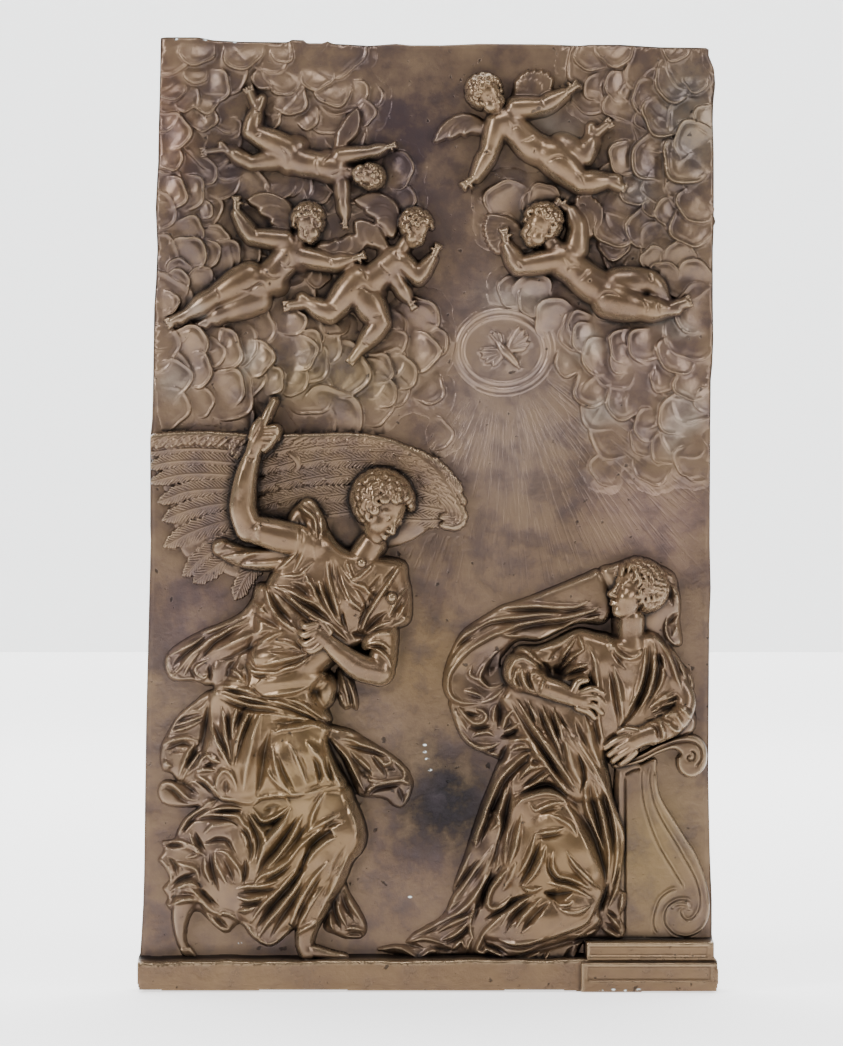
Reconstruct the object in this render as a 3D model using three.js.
import * as THREE from 'three';

// Relief plaque cast in bronze, in millimetres.
// Its flat back lies on the plane Y = 0, its figures face -Y, and +Z is up.
// The relief is drawn on a board 952 units high: each place is given as units across and down
// that board, and each height and radius is in the same units above the plain ground.

// Driving sizes
const castHeight = 978;         // from the foot to the top edge
const slabThickness = 14;       // metal behind the plain ground
const edgeRounding = 3;         // how far the outer edge is worn back
const greatestRelief = 66;      // nothing stands further out of the ground than this

// The board
const boardLeft = 149;          // even places of the outer edge, before it wanders
const boardRight = 712;
const boardTop = 40;
const boardFoot = 989;
const highestPlace = 37;        // top of the outer edge where it is least worn
const boardMiddle = 428;
const mm = castHeight / (boardFoot - highestPlace);
const buried = -60;             // a layer starts so far under the ground that it can't show

// The foot ledge and the two steps at its right end
const floorLine = 957;          // where the ground meets the ledge
const ledgeHeight = 31;
const ledgeSlope = 9;           // rise of a step's upper edge to each unit down
const upperStep = { left: 584, top: 938, foot: 959, height: 33 };
const lowerStep = { left: 577, height: 38 };
const panel = { left: 586, right: 710, top: 963, foot: 979, depth: 3 };

// How rounded forms end
const wallStart = 0.94;         // share of a form's radius where its dome turns into a wall
const wallSteepness = 4;
const formReach = 1.5;          // shares of its radius that a form and its wall cover
const sheetWall = 5;
const sheetReach = 5;

// Clouds
const cloudFoot = 1.5;          // height of a cloud plate at its lower side
const cloudDome = 0.1;          // rise of its middle, as a share of its radius
const cloudReach = 1.2;
const smallPlate = 0.72;

// Thickness of the children's bodies, as shares of the head's radius
const girth = {
  back: [0.92, 1.0, 0.95], hip: 0.82, knee: 0.61, ankle: 0.36, toe: 0.26, neck: 0.5, nape: 0.55,
  shoulder: 0.5, elbow: 0.42, wrist: 0.3, palm: 0.34,
};
const backHeight = 8;
const headHeight = 11;
const nearLimb = 12;            // heights of the limb nearer the viewer and of the further one
const farLimb = 7;
const wingHeight = 6;
const quillRadius = 6;

// Fineness of the solid
const cells = 256;              // across the board, and twice as many down
const plainness = 3.6;          // how far a facet may lie from the form under it
const shortestSide = 2;         // cells along the short side of the smallest facet
const strayCells = 6;           // no grid point is further than this from its even place
const softenings = 3;           // passes that round the steep sides of the figures
const wornWidth = 4;            // board units that the rounding of the outer edge takes in

// The outer edge wanders: places down the board, and how far across each side is there
const leftEdge = [[40, 160.5], [95, 159.5], [165, 158], [210, 155.5], [245, 157.5], [310, 154], [380, 153],
  [440, 150], [540, 151], [640, 148], [720, 146], [800, 145], [900, 143], [955, 140], [957, 138], [989, 138]];
const rightEdge = [[46, 707], [52, 713], [70, 716], [140, 714], [208, 716], [240, 713], [330, 713.5], [400, 711],
  [540, 710], [620, 709.5], [760, 708.5], [850, 710], [900, 713], [955, 712.5], [958, 717], [989, 716]];
const topEdge = [[160, 37], [200, 36.5], [215, 41], [290, 41], [306, 43], [330, 43.5], [400, 45], [500, 43.5],
  [586, 46], [640, 46], [716, 48]];

const clamp = THREE.MathUtils.clamp;
const lerp = THREE.MathUtils.lerp;

// Value of a stepped list at a place
function along(list, place) {
  if (place <= list[0][0]) return list[0][1];
  for (let i = 1; i < list.length; i += 1) {
    const [start, startValue] = list[i - 1];
    const [end, endValue] = list[i];
    if (place <= end) return lerp(startValue, endValue, (place - start) / (end - start));
  }
  return list[list.length - 1][1];
}

// The grid: where each of its points lies on the board
const columns = cells + 1;
const rows = 2 * cells + 1;
const across = new Float32Array(columns * rows);
const down = new Float32Array(columns * rows);
for (let row = 0; row < rows; row += 1) {
  for (let column = 0; column < columns; column += 1) {
    const at = row * columns + column;
    const u = column / cells;
    const v = row / (2 * cells);
    const roughDown = lerp(boardTop, boardFoot, v);
    across[at] = lerp(along(leftEdge, roughDown), along(rightEdge, roughDown), u);
    down[at] = lerp(along(topEdge, across[at]), boardFoot, v);
  }
}

const newLayer = (level) => new Float32Array(columns * rows).fill(level);

// Calls change(index, across, down) for each grid point in a rectangle of the board
function eachPoint(left, top, right, foot, change) {
  const columnAt = (place) => ((place - boardLeft) / (boardRight - boardLeft)) * cells;
  const rowAt = (place) => ((place - boardTop) / (boardFoot - boardTop)) * 2 * cells;
  const firstColumn = Math.max(0, Math.floor(columnAt(left)) - strayCells);
  const lastColumn = Math.min(columns - 1, Math.ceil(columnAt(right)) + strayCells);
  const firstRow = Math.max(0, Math.floor(rowAt(top)) - strayCells);
  const lastRow = Math.min(rows - 1, Math.ceil(rowAt(foot)) + strayCells);
  for (let row = firstRow; row <= lastRow; row += 1) {
    for (let column = firstColumn; column <= lastColumn; column += 1) {
      const at = row * columns + column;
      change(at, across[at], down[at]);
    }
  }
}

// Height of a rounded form at q, its share of the way from the middle to the edge, and of its wall
function domed(q, rise, radius) {
  if (q < wallStart) return rise * Math.sqrt(1 - q * q);
  return rise * Math.sqrt(1 - wallStart * wallStart) - (q - wallStart) * radius * wallSteepness;
}

// The higher of two heights, with a soft join
const softMax = (one, two, blend) => (one + two + Math.hypot(one - two, blend)) / 2;

// A smooth run through points of any number of values
function smoothRun(points, steps = 4) {
  const run = [];
  const end = points.length - 1;
  for (let i = 0; i < end; i += 1) {
    const before = points[Math.max(i - 1, 0)];
    const after = points[Math.min(i + 2, end)];
    for (let step = 0; step < steps; step += 1) {
      const t = step / steps;
      run.push(points[i].map((from, k) => {
        const to = points[i + 1][k];
        const leave = (to - before[k]) / 2;
        const arrive = (after[k] - from) / 2;
        return from + t * leave + t * t * (3 * (to - from) - 2 * leave - arrive)
          + t * t * t * (2 * (from - to) + leave + arrive);
      }));
    }
  }
  run.push(points[end]);
  return run;
}

// A round limb or fold through [across, down, height of its axis, radius]
function limb(layer, points, blend = 2) {
  const run = smoothRun(points);
  for (let i = 1; i < run.length; i += 1) {
    const [a0, d0, h0, r0] = run[i - 1];
    const [a1, d1, h1, r1] = run[i];
    const length2 = Math.max((a1 - a0) ** 2 + (d1 - d0) ** 2, 1e-6);
    const reach = Math.max(r0, r1) * formReach;
    eachPoint(Math.min(a0, a1) - reach, Math.min(d0, d1) - reach,
      Math.max(a0, a1) + reach, Math.max(d0, d1) + reach, (at, a, d) => {
        const t = clamp(((a - a0) * (a1 - a0) + (d - d0) * (d1 - d0)) / length2, 0, 1);
        const radius = lerp(r0, r1, t);
        const q = Math.hypot(a - lerp(a0, a1, t), d - lerp(d0, d1, t)) / radius;
        if (q > formReach) return;
        layer[at] = softMax(layer[at], lerp(h0, h1, t) + domed(q, radius, radius), blend);
      });
  }
}

// A bulge [across, down, height], with its two radii, its rise and its turn in degrees
function bulge(layer, [a0, d0, h0], [long, wide, rise], turn = 0, blend = 2) {
  const cos = Math.cos(THREE.MathUtils.degToRad(turn));
  const sin = Math.sin(THREE.MathUtils.degToRad(turn));
  const reach = Math.max(long, wide) * formReach;
  eachPoint(a0 - reach, d0 - reach, a0 + reach, d0 + reach, (at, a, d) => {
    const q = Math.hypot(((a - a0) * cos + (d - d0) * sin) / long, ((d - d0) * cos - (a - a0) * sin) / wide);
    if (q > formReach) return;
    layer[at] = softMax(layer[at], h0 + domed(q, rise, Math.min(long, wide)), blend);
  });
}

// A sheet of metal inside a closed outline, which stands up over a margin to its full height
function sheet(layer, outline, height, rise, margin, blend = 2) {
  const closed = smoothRun([...outline, outline[0]], 3);
  const lows = [0, 1].map((k) => Math.min(...closed.map((point) => point[k])) - sheetReach);
  const highs = [0, 1].map((k) => Math.max(...closed.map((point) => point[k])) + sheetReach);
  eachPoint(lows[0], lows[1], highs[0], highs[1], (at, a, d) => {
    let nearest = Infinity;
    let inside = false;
    for (let i = 1; i < closed.length; i += 1) {
      const [a0, d0] = closed[i - 1];
      const [a1, d1] = closed[i];
      const length2 = Math.max((a1 - a0) ** 2 + (d1 - d0) ** 2, 1e-6);
      const t = clamp(((a - a0) * (a1 - a0) + (d - d0) * (d1 - d0)) / length2, 0, 1);
      nearest = Math.min(nearest, Math.hypot(a - lerp(a0, a1, t), d - lerp(d0, d1, t)));
      if ((d0 > d) !== (d1 > d) && a < a0 + ((d - d0) / (d1 - d0)) * (a1 - a0)) inside = !inside;
    }
    if (!inside && nearest > sheetReach) return;
    const share = 1 - clamp(nearest / margin, 0, 1);
    const value = inside ? height + rise * Math.sqrt(1 - share * share) : height - nearest * sheetWall;
    layer[at] = softMax(layer[at], value, blend);
  });
}

// A cloud plate, which lifts towards its bearing in clock degrees
function cloud(layer, a0, d0, radius, bearing, lift) {
  const sin = Math.sin(THREE.MathUtils.degToRad(bearing));
  const cos = Math.cos(THREE.MathUtils.degToRad(bearing));
  const reach = radius * cloudReach;
  eachPoint(a0 - reach, d0 - reach, a0 + reach, d0 + reach, (at, a, d) => {
    const q = Math.hypot(a - a0, d - d0) / radius;
    const lean = (1 + ((a - a0) * sin - (d - d0) * cos) / radius) / 2;
    const dome = cloudDome * radius * Math.max(1 - q * q, 0);
    const wall = Math.max(q - 1, 0) * radius * wallSteepness;
    const height = cloudFoot + lift * clamp(lean, 0, 1) + dome - wall;
    layer[at] = Math.max(layer[at], height);
  });
}

// A bank of cloud plates strung along a path, each third one smaller
function cloudBank(layer, path, plates, radius, bearing, lift = 6) {
  const run = smoothRun(path, plates);
  for (let i = 0; i < plates; i += 1) {
    const [a, d] = run[Math.round((i * (run.length - 1)) / Math.max(plates - 1, 1))];
    cloud(layer, a, d, radius * (i % 3 === 1 ? smallPlate : 1), bearing, lift);
  }
}

// A small wing: quills fanned from the root to its edge
function smallWing(layer, root, tips) {
  tips.forEach((tip) => {
    const middle = [(root[0] + tip[0]) / 2, (root[1] + tip[1]) / 2];
    limb(layer, [[...root, wingHeight + 2, quillRadius], [...middle, wingHeight + 3, quillRadius],
      [...tip, wingHeight, quillRadius - 1]], 1);
  });
}

// A winged child, from the places of its joints; head is the radius of its head
function child(ground, pose) {
  const layer = newLayer(buried);
  const head = pose.headRadius;
  pose.wings.forEach(([root, tips]) => smallWing(layer, root, tips));
  limb(layer, pose.spine.map(([a, d], i) => [a, d, backHeight, head * girth.back[i]]));
  pose.legs.forEach(([hip, knee, ankle, toe], far) => {
    const lift = far === 0 ? nearLimb : farLimb;
    limb(layer, [[...hip, lift - 2, head * girth.hip], [...knee, lift, head * girth.knee]]);
    limb(layer, [[...knee, lift, head * girth.knee], [...ankle, lift - 2, head * girth.ankle]]);
    limb(layer, [[...ankle, lift - 3, head * girth.ankle], [...toe, lift - 3, head * girth.toe]]);
  });
  pose.arms.forEach(([shoulder, elbow, wrist, palm], far) => {
    const lift = far === 0 ? nearLimb : farLimb;
    limb(layer, [[...shoulder, lift, head * girth.shoulder], [...elbow, lift, head * girth.elbow],
      [...wrist, lift, head * girth.wrist]]);
    limb(layer, [[...wrist, lift, head * girth.wrist], [...palm, lift, head * girth.palm]]);
  });
  limb(layer, [[...pose.spine[0], backHeight + 2, head * girth.neck],
    [...pose.head, headHeight, head * girth.nape]]);
  bulge(layer, [...pose.head, headHeight], [head, head * 0.9, head]);
  settle(ground, layer);
}

// A finished layer stands on the ground wherever it is higher
function settle(ground, layer) {
  for (let at = 0; at < ground.length; at += 1) ground[at] = Math.max(ground[at], layer[at]);
}

function clouds(ground) {
  cloudBank(ground, [[190, 55], [285, 60], [330, 92]], 6, 16, 180);
  cloudBank(ground, [[178, 88], [172, 132], [180, 190]], 5, 17, 100);
  cloudBank(ground, [[212, 90], [205, 125], [205, 172], [190, 232]], 6, 15, 100, 5);
  cloudBank(ground, [[192, 260], [180, 282], [168, 303]], 4, 16, 60);
  cloudBank(ground, [[270, 80], [290, 98], [307, 117], [356, 95]], 6, 14, 160, 5);
  cloudBank(ground, [[280, 186], [318, 190], [395, 172], [402, 200]], 5, 15, 140, 4);
  cloudBank(ground, [[188, 346], [195, 372], [226, 388], [270, 380]], 6, 19, 60, 7);
  cloudBank(ground, [[222, 350], [255, 358], [300, 353], [292, 322]], 5, 18, 80, 8);
  cloudBank(ground, [[341, 370], [379, 385], [398, 373], [418, 352], [418, 320]], 7, 20, 75, 8);
  cloudBank(ground, [[330, 418], [428, 390], [436, 432]], 4, 24, 60, 4);
  cloudBank(ground, [[592, 54], [615, 50], [676, 50], [690, 82]], 5, 17, 200);
  cloudBank(ground, [[600, 88], [650, 98], [664, 115], [694, 142]], 6, 18, 250, 7);
  cloudBank(ground, [[626, 150], [655, 160], [688, 160]], 4, 21, 240, 9);
  cloudBank(ground, [[637, 190], [672, 210], [695, 222]], 5, 18, 225, 7);
  cloudBank(ground, [[617, 225], [648, 230], [680, 258], [690, 278]], 5, 19, 300, 6);
  cloudBank(ground, [[508, 203], [544, 200]], 2, 19, 330, 6);
  cloudBank(ground, [[516, 293], [534, 294], [556, 318], [588, 335]], 5, 18, 320, 6);
  cloudBank(ground, [[569, 362], [593, 386], [626, 350], [646, 345]], 6, 18, 245, 7);
  cloudBank(ground, [[625, 400], [663, 380], [682, 355], [694, 382]], 6, 18, 240, 7);
  cloudBank(ground, [[680, 415], [652, 428], [684, 455]], 4, 19, 270, 4);
}

function children(ground) {
  child(ground, {
    headRadius: 14,
    head: [365, 175],
    spine: [[330, 168], [312, 166], [296, 158]],
    legs: [[[288, 150], [250, 132], [257, 103], [254, 93]], [[288, 152], [252, 163], [221, 147], [204, 152]]],
    arms: [[[337, 158], [371, 152], [386, 149], [393, 147]], [[340, 186], [343, 210], [345, 220], [345, 226]]],
    wings: [[[335, 150], [[358, 110], [352, 128], [338, 118]]]],
  });
  child(ground, {
    headRadius: 16,
    head: [309, 225],
    spine: [[290, 254], [271, 276], [257, 283]],
    legs: [[[250, 274], [215, 298], [186, 315], [171, 323]], [[256, 300], [222, 314], [208, 322], [202, 325]]],
    arms: [[[286, 240], [253, 236], [236, 212], [238, 200]], [[303, 257], [335, 264], [352, 262], [365, 257]]],
    wings: [[[290, 242], [[252, 200], [262, 218], [280, 198]]], [[318, 246], [[362, 236], [358, 250]]]],
  });
  child(ground, {
    headRadius: 16,
    head: [415, 230],
    spine: [[394, 262], [376, 276], [362, 286]],
    legs: [[[357, 277], [330, 315], [306, 302], [288, 305]], [[366, 300], [381, 323], [360, 348], [356, 356]]],
    arms: [[[400, 264], [418, 278], [434, 258], [436, 247]], [[393, 272], [401, 286], [408, 298], [411, 304]]],
    wings: [[[388, 252], [[356, 200], [358, 216], [360, 234]]], [[392, 240], [[372, 196], [388, 198]]]],
  });
  child(ground, {
    headRadius: 17,
    head: [487, 97],
    spine: [[508, 124], [528, 146], [546, 152]],
    legs: [[[550, 152], [578, 183], [610, 181], [622, 192]], [[552, 150], [583, 160], [594, 130], [608, 125]]],
    arms: [[[497, 125], [489, 155], [474, 180], [463, 184]], [[513, 108], [543, 106], [567, 92], [576, 86]]],
    wings: [[[486, 128], [[440, 132], [446, 146], [462, 142]]], [[516, 104], [[520, 76], [536, 74], [548, 84]]]],
  });
  child(ground, {
    headRadius: 19,
    head: [540, 228],
    spine: [[565, 260], [587, 281], [603, 293]],
    legs: [[[604, 302], [638, 308], [667, 310], [688, 306]], [[613, 282], [650, 281], [664, 300], [667, 306]]],
    arms: [[[549, 261], [518, 268], [506, 245], [503, 232]], [[575, 245], [577, 225], [571, 210], [560, 203]]],
    wings: [[[534, 246], [[488, 226], [490, 244], [500, 256]]], [[574, 236], [[600, 200], [602, 216], [600, 230]]]],
  });
}

function doveInRing(ground) {
  const layer = newLayer(buried);
  const middle = [503, 350];
  const ringRadius = [44, 38];
  const ringThickness = 3;
  const ringTurns = 24;
  const ring = [];
  for (let i = 0; i <= ringTurns; i += 1) {
    const turn = (i / ringTurns) * 2 * Math.PI;
    ring.push([middle[0] + ringRadius[0] * Math.cos(turn), middle[1] + ringRadius[1] * Math.sin(turn),
      1, ringThickness]);
  }
  limb(layer, ring, 1);
  limb(layer, [[496, 341, 4, 5], [505, 352, 7, 8], [515, 362, 8, 5]]);
  limb(layer, [[508, 348, 5, 6], [518, 336, 5, 6], [524, 330, 3, 4]]);
  limb(layer, [[500, 352, 5, 6], [490, 356, 5, 5], [483, 357, 3, 3]]);
  settle(ground, layer);
}

// The great wing behind the standing figure, with quills that run to the left edge
function greatWing(ground) {
  const layer = newLayer(buried);
  sheet(layer, [[150, 438], [200, 431], [250, 435], [325, 435], [385, 440], [425, 458], [452, 484], [463, 510],
    [456, 527], [430, 526], [400, 545], [320, 560], [256, 575], [236, 545], [236, 500], [152, 480]], 5, 8, 22);
  const quills = [
    [[240, 446], [190, 443], [150, 444]], [[240, 457], [190, 455], [151, 461]],
    [[240, 470], [190, 474], [152, 480]], [[238, 484], [200, 487], [168, 489]],
    [[236, 498], [198, 508], [170, 518]], [[236, 514], [200, 526], [172, 540]],
    [[238, 530], [208, 548], [188, 572]], [[244, 548], [222, 562], [198, 576]],
    [[262, 562], [250, 576], [237, 590]],
  ];
  const rootHeight = [4, 1, 1];
  const quillWidth = 9;
  quills.forEach((quill) => limb(layer, quill.map(([a, d], i) => [a, d, rootHeight[i], quillWidth]), 1));
  settle(ground, layer);
}

function standingFigure(ground) {
  const layer = newLayer(buried);
  // legs and the drapery that blows round them
  limb(layer, [[335, 800, 24, 26], [345, 838, 26, 22], [325, 885, 22, 17], [308, 930, 16, 11], [307, 944, 12, 10]]);
  limb(layer, [[309, 946, 12, 11], [330, 953, 12, 8], [343, 957, 10, 5]]);
  limb(layer, [[190, 880, 6, 20], [182, 910, 6, 13], [180, 940, 5, 6], [190, 952, 5, 6]]);
  limb(layer, [[280, 800, 14, 20], [262, 840, 12, 22], [235, 880, 10, 18], [215, 905, 8, 14], [226, 925, 6, 9]]);
  limb(layer, [[305, 810, 18, 18], [282, 860, 16, 18], [262, 905, 12, 14], [250, 930, 8, 10]]);
  limb(layer, [[300, 850, 18, 15], [285, 905, 15, 15], [272, 938, 10, 10]]);
  limb(layer, [[220, 812, 8, 12], [195, 822, 8, 12], [182, 845, 6, 14], [176, 872, 5, 12]]);
  limb(layer, [[230, 835, 10, 14], [210, 850, 9, 18], [205, 880, 8, 18]]);
  // skirt of the tunic down to its hem
  sheet(layer, [[212, 702], [250, 705], [325, 724], [345, 760], [352, 786], [300, 795], [258, 800], [215, 800],
    [196, 776], [204, 740]], 12, 20, 30);
  limb(layer, [[250, 712, 24, 16], [236, 760, 22, 18], [228, 786, 16, 14]]);
  limb(layer, [[300, 735, 28, 24], [310, 770, 26, 24]]);
  // the mantle's flying ends, left and right
  sheet(layer, [[216, 690], [184, 715], [162, 742], [161, 765], [180, 782], [160, 792], [185, 802], [214, 796],
    [200, 760], [214, 720]], 4, 9, 14);
  sheet(layer, [[322, 724], [360, 735], [392, 757], [412, 782], [408, 800], [398, 806], [365, 795], [340, 760]],
    6, 10, 14);
  sheet(layer, [[344, 876], [352, 900], [366, 925], [358, 939], [340, 935], [322, 928], [334, 900]], 3, 8, 12);
  // belly and the rolled sash under it
  bulge(layer, [290, 668, 22], [48, 34, 24], -8);
  limb(layer, [[224, 690, 16, 8], [270, 702, 24, 9], [325, 722, 22, 9]]);
  limb(layer, [[255, 688, 20, 8], [300, 702, 26, 9], [330, 716, 22, 8]]);
  // breast, shoulders and the pleats that gather under the breast
  bulge(layer, [330, 600, 20], [56, 50, 24], 20);
  bulge(layer, [378, 590, 18], [34, 42, 22], 10);
  limb(layer, [[300, 555, 26, 20], [322, 590, 28, 16], [350, 632, 22, 9]]);
  limb(layer, [[340, 560, 28, 12], [350, 600, 28, 11], [356, 632, 20, 7]]);
  limb(layer, [[382, 575, 26, 14], [372, 605, 25, 11], [360, 632, 18, 7]]);
  limb(layer, [[404, 565, 16, 10], [408, 592, 20, 12], [392, 618, 24, 14]]);
  // mantle carried from the raised arm across the body, and its two long folds
  limb(layer, [[222, 545, 10, 9], [250, 556, 14, 11], [290, 552, 22, 12], [318, 530, 24, 11], [312, 505, 18, 9]]);
  limb(layer, [[262, 590, 20, 12], [290, 606, 24, 12], [318, 618, 26, 10]]);
  limb(layer, [[178, 660, 8, 16], [210, 640, 12, 15], [250, 622, 16, 12], [285, 618, 20, 10]]);
  limb(layer, [[205, 668, 12, 14], [235, 650, 18, 14], [275, 632, 22, 13], [300, 628, 22, 10]]);
  limb(layer, [[345, 680, 10, 12], [348, 704, 9, 10]]);
  // neck and head
  limb(layer, [[350, 562, 26, 16], [372, 540, 32, 14]]);
  bulge(layer, [388, 512, 30], [36, 32, 32], 40);
  bulge(layer, [400, 530, 30], [20, 20, 24], 60);
  // lower arm, bent across the waist
  limb(layer, [[398, 610, 24, 14], [391, 645, 26, 14], [382, 670, 30, 15]]);
  limb(layer, [[384, 670, 31, 16], [352, 652, 40, 12], [326, 636, 44, 10], [308, 630, 42, 11]]);
  // raised arm with its pointing hand
  limb(layer, [[316, 542, 28, 19], [282, 536, 32, 18], [252, 528, 36, 15]]);
  limb(layer, [[248, 527, 37, 14], [245, 505, 40, 14], [247, 480, 43, 12], [254, 456, 46, 9]]);
  limb(layer, [[254, 456, 46, 9], [262, 442, 46, 10], [266, 430, 45, 8]]);
  limb(layer, [[264, 428, 45, 5], [269, 413, 43, 4], [276, 402, 41, 3.5]], 1);
  settle(ground, layer);
}

function kneelingFigure(ground) {
  const layer = newLayer(buried);
  // veil blown back from the head
  sheet(layer, [[446, 688], [450, 660], [472, 630], [515, 602], [560, 588], [606, 568], [640, 558], [674, 570],
    [681, 605], [668, 630], [640, 640], [598, 626], [560, 624], [520, 640], [494, 664], [506, 684], [484, 706],
    [456, 702]], 6, 14, 16);
  sheet(layer, [[450, 706], [484, 708], [510, 700], [524, 745], [500, 757], [470, 746], [454, 726]], 4, 10, 14);
  limb(layer, [[664, 575, 18, 10], [674, 600, 18, 9], [668, 628, 16, 8]]);
  limb(layer, [[668, 640, 14, 8], [684, 665, 14, 8], [689, 692, 10, 7]]);
  // skirts trailing to the left, and the mantle down the right side
  limb(layer, [[510, 755, 16, 20], [488, 820, 14, 18], [464, 885, 12, 18], [430, 930, 8, 16], [392, 950, 4, 8]]);
  limb(layer, [[520, 800, 20, 22], [500, 850, 20, 22], [488, 905, 16, 22], [478, 942, 14, 14]]);
  limb(layer, [[500, 900, 20, 30], [510, 944, 24, 22], [535, 958, 26, 18], [565, 948, 24, 14]]);
  limb(layer, [[590, 780, 24, 18], [606, 850, 22, 16], [615, 915, 18, 14], [604, 940, 20, 12]]);
  // body, from the breast to the hips
  bulge(layer, [604, 690, 22], [48, 66, 24], -12);
  bulge(layer, [560, 740, 20], [46, 60, 24], -30);
  limb(layer, [[640, 650, 20, 20], [632, 700, 24, 20], [616, 740, 22, 16]]);
  limb(layer, [[655, 650, 16, 12], [664, 690, 18, 14], [676, 716, 18, 14]]);
  // great folds from the shoulder to the knee
  limb(layer, [[512, 700, 26, 13], [545, 750, 32, 13], [590, 810, 34, 14], [612, 860, 26, 12]]);
  limb(layer, [[550, 705, 28, 13], [580, 755, 32, 14], [606, 810, 28, 12]]);
  // thigh and knee
  bulge(layer, [552, 850, 22], [66, 52, 34], 62);
  bulge(layer, [560, 900, 20], [46, 40, 30], 0);
  // neck and head, thrown back
  limb(layer, [[628, 648, 22, 14], [632, 622, 26, 13]]);
  bulge(layer, [636, 592, 24], [32, 28, 26], 60);
  bulge(layer, [650, 592, 18], [20, 32, 20], 0);
  // arm laid on the breast, its wide sleeve and its hand
  limb(layer, [[560, 650, 24, 20], [530, 668, 28, 20], [520, 680, 30, 18]]);
  limb(layer, [[528, 680, 32, 15], [552, 690, 38, 12], [574, 697, 42, 10], [588, 698, 42, 8]]);
  // arm to the lectern
  limb(layer, [[684, 706, 20, 14], [668, 724, 26, 13], [648, 732, 32, 12]]);
  limb(layer, [[650, 732, 33, 11], [630, 744, 32, 10], [610, 752, 28, 7]]);
  settle(ground, layer);
}

// Lectern: sloping rail that ends in a scroll, framed side, and the bracket's lower scroll
function lectern(ground) {
  const layer = newLayer(buried);
  sheet(layer, [[616, 768], [644, 764], [652, 800], [672, 846], [698, 888], [708, 915], [685, 936], [660, 937],
    [620, 937], [616, 850]], 10, 6, 5, 1);
  limb(layer, [[616, 766, 10, 5], [655, 752, 14, 6], [682, 740, 16, 7], [700, 750, 16, 7], [702, 764, 16, 6]], 1);
  bulge(layer, [690, 760, 6], [16, 17, 14]);
  bulge(layer, [682, 912, 6], [24, 24, 14]);
  limb(layer, [[652, 760, 12, 6], [654, 795, 14, 6], [672, 836, 14, 6], [694, 874, 14, 7], [704, 900, 12, 7]], 1);
  settle(ground, layer);
}

// The foot ledge, and at its right end two low steps, the lower one with a sunk panel
function ledge(ground) {
  const rising = (depth, height) => Math.min(depth * ledgeSlope, height);
  eachPoint(boardLeft, upperStep.top, boardRight, boardFoot, (at, a, d) => {
    if (d > floorLine) ground[at] = Math.max(ground[at], rising(d - floorLine, ledgeHeight));
    if (a > upperStep.left && d > upperStep.top && d <= upperStep.foot) {
      ground[at] = Math.max(ground[at], rising(d - upperStep.top, upperStep.height));
    }
    if (a <= lowerStep.left || d <= floorLine) return;
    const inPanel = Math.min(a - panel.left, panel.right - a, d - panel.top, panel.foot - d);
    ground[at] = Math.max(ground[at], lowerStep.height - clamp(inPanel, 0, 1) * panel.depth);
  });
}

// The outer edge is worn back a little, so that it isn't sharp
function wearEdge(ground) {
  const cellWidth = (boardRight - boardLeft) / cells;
  const cellHeight = (boardFoot - boardTop) / (2 * cells);
  for (let row = 0; row < rows; row += 1) {
    for (let column = 0; column < columns; column += 1) {
      const fromSide = Math.min(column, columns - 1 - column) * cellWidth;
      const fromEnd = Math.min(row, rows - 1 - row) * cellHeight;
      const share = Math.max(1 - Math.min(fromSide, fromEnd) / wornWidth, 0);
      ground[row * columns + column] -= edgeRounding * share ** 2;
    }
  }
}

function carve() {
  const ground = newLayer(0);
  clouds(ground);
  doveInRing(ground);
  children(ground);
  lectern(ground);
  greatWing(ground);
  ledge(ground);
  standingFigure(ground);
  kneelingFigure(ground);
  wearEdge(ground);
  let relief = ground.map((height) => Math.min(height, greatestRelief));
  for (let pass = 0; pass < softenings; pass += 1) relief = soften(soften(relief, 1), columns);
  return relief;
}

// Each height is shared with its two neighbours along one direction of the grid
function soften(height, stride) {
  return height.map((value, at) => {
    const before = height[at - stride] ?? value;
    const after = height[at + stride] ?? value;
    const isRim = at % columns === 0 || at % columns === columns - 1;
    return isRim ? value : (before + 2 * value + after) / 4;
  });
}

// Error of each right triangle's longest side, worked from the smallest triangles to the largest,
// so that splitting where the error is too great never leaves a gap
function splitErrors(height) {
  const errors = new Float32Array(columns * rows);
  const index = (point) => point[1] * columns + point[0];
  const middleOf = (a, b) => [(a[0] + b[0]) / 2, (a[1] + b[1]) / 2];
  const visit = (a, b, c, depth) => {
    const m = middleOf(a, b);
    if (depth > 0) {
      visit(c, a, m, depth - 1);
      visit(b, c, m, depth - 1);
      return;
    }
    const at = index(m);
    let worst = Math.abs(height[at] - (height[index(a)] + height[index(b)]) / 2);
    if (Math.abs(a[0] - c[0]) + Math.abs(a[1] - c[1]) > shortestSide) {
      worst = Math.max(worst, errors[index(middleOf(a, c))], errors[index(middleOf(b, c))]);
    }
    errors[at] = Math.max(errors[at], worst);
  };
  const deepest = 2 * Math.log2(cells / shortestSide);
  for (let depth = deepest; depth >= 0; depth -= 1) {
    rootTriangles().forEach(([a, b, c]) => visit(a, b, c, depth));
  }
  return errors;
}

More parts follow.
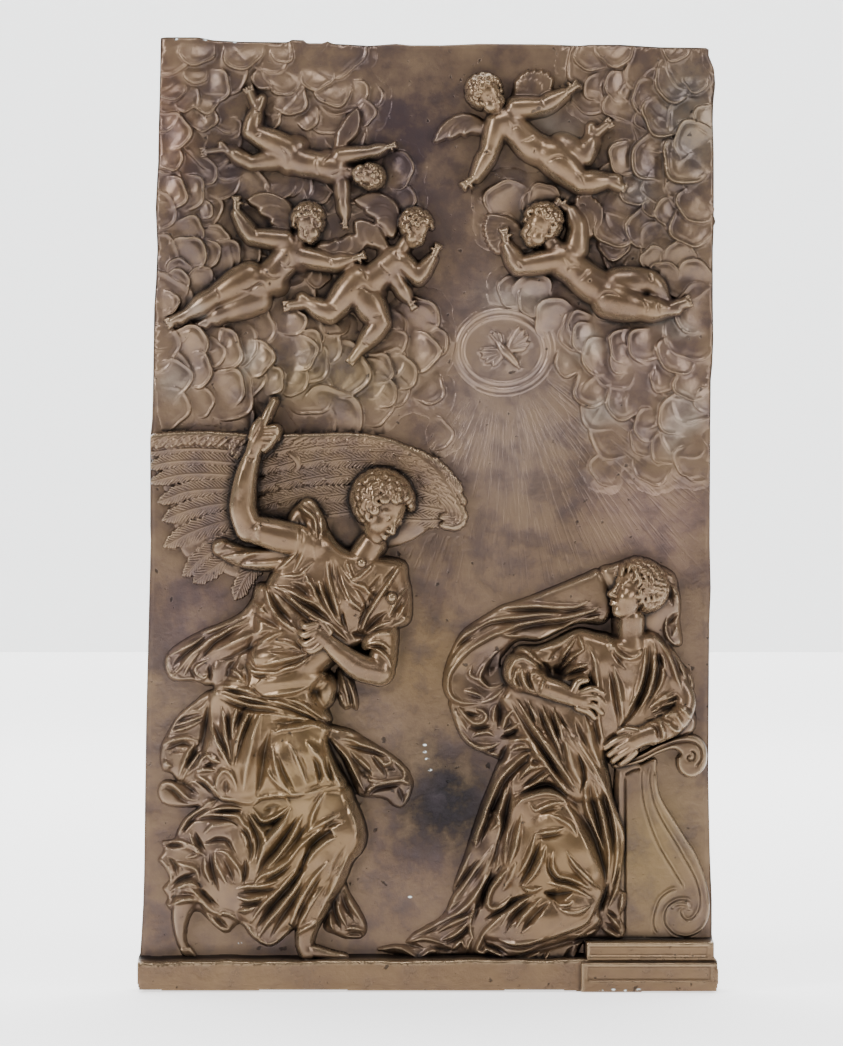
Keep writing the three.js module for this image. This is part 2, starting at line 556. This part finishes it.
// Four large triangles, two to each half of the board
function rootTriangles() {
  return [0, cells].flatMap((top) => [
    [[0, top], [cells, top + cells], [cells, top]],
    [[cells, top + cells], [0, top], [0, top + cells]],
  ]);
}

function frontTriangles(errors) {
  const triangles = [];
  const split = (a, b, c) => {
    const m = [(a[0] + b[0]) / 2, (a[1] + b[1]) / 2];
    const canSplit = Math.abs(a[0] - c[0]) + Math.abs(a[1] - c[1]) > shortestSide;
    if (canSplit && errors[m[1] * columns + m[0]] > plainness) {
      split(c, a, m);
      split(b, c, m);
    } else {
      triangles.push([a, b, c].map((point) => point[1] * columns + point[0]));
    }
  };
  rootTriangles().forEach(([a, b, c]) => split(a, b, c));
  return triangles;
}

// The closed solid: carved front, edge walls down to the wall plane, and a flat back
function plaqueGeometry() {
  const height = carve();
  const triangles = frontTriangles(splitErrors(height));
  const positions = [];
  const corner = (at, isBack) => [(across[at] - boardMiddle) * mm,
    isBack ? 0 : -(slabThickness + height[at] * mm), ((boardTop + boardFoot) / 2 - down[at]) * mm];
  const sides = new Map();
  triangles.forEach((triangle) => {
    positions.push(...triangle.flatMap((at) => corner(at, false)));
    triangle.forEach((from, i) => {
      const to = triangle[(i + 1) % 3];
      const reverse = `${to} ${from}`;
      if (sides.has(reverse)) sides.delete(reverse);
      else sides.set(`${from} ${to}`, [from, to]);
    });
  });
  const backMiddle = [0, 0, 0];
  sides.forEach(([from, to]) => {
    const [a, b, c, d] = [corner(from, false), corner(to, false), corner(to, true), corner(from, true)];
    positions.push(...b, ...a, ...d, ...b, ...d, ...c);
    positions.push(...c, ...d, ...backMiddle);
  });
  const geometry = new THREE.BufferGeometry();
  geometry.setAttribute('position', new THREE.Float32BufferAttribute(positions, 3));
  geometry.computeVertexNormals();
  return geometry;
}

const bronze = new THREE.MeshStandardMaterial({ color: 0x6b5644, metalness: 0.85, roughness: 0.45 });
bronze.name = 'bronze';

const plaque = new THREE.Mesh(plaqueGeometry(), bronze);
plaque.name = 'relief_plaque';

const part = new THREE.Group();
part.add(plaque);

export default part;
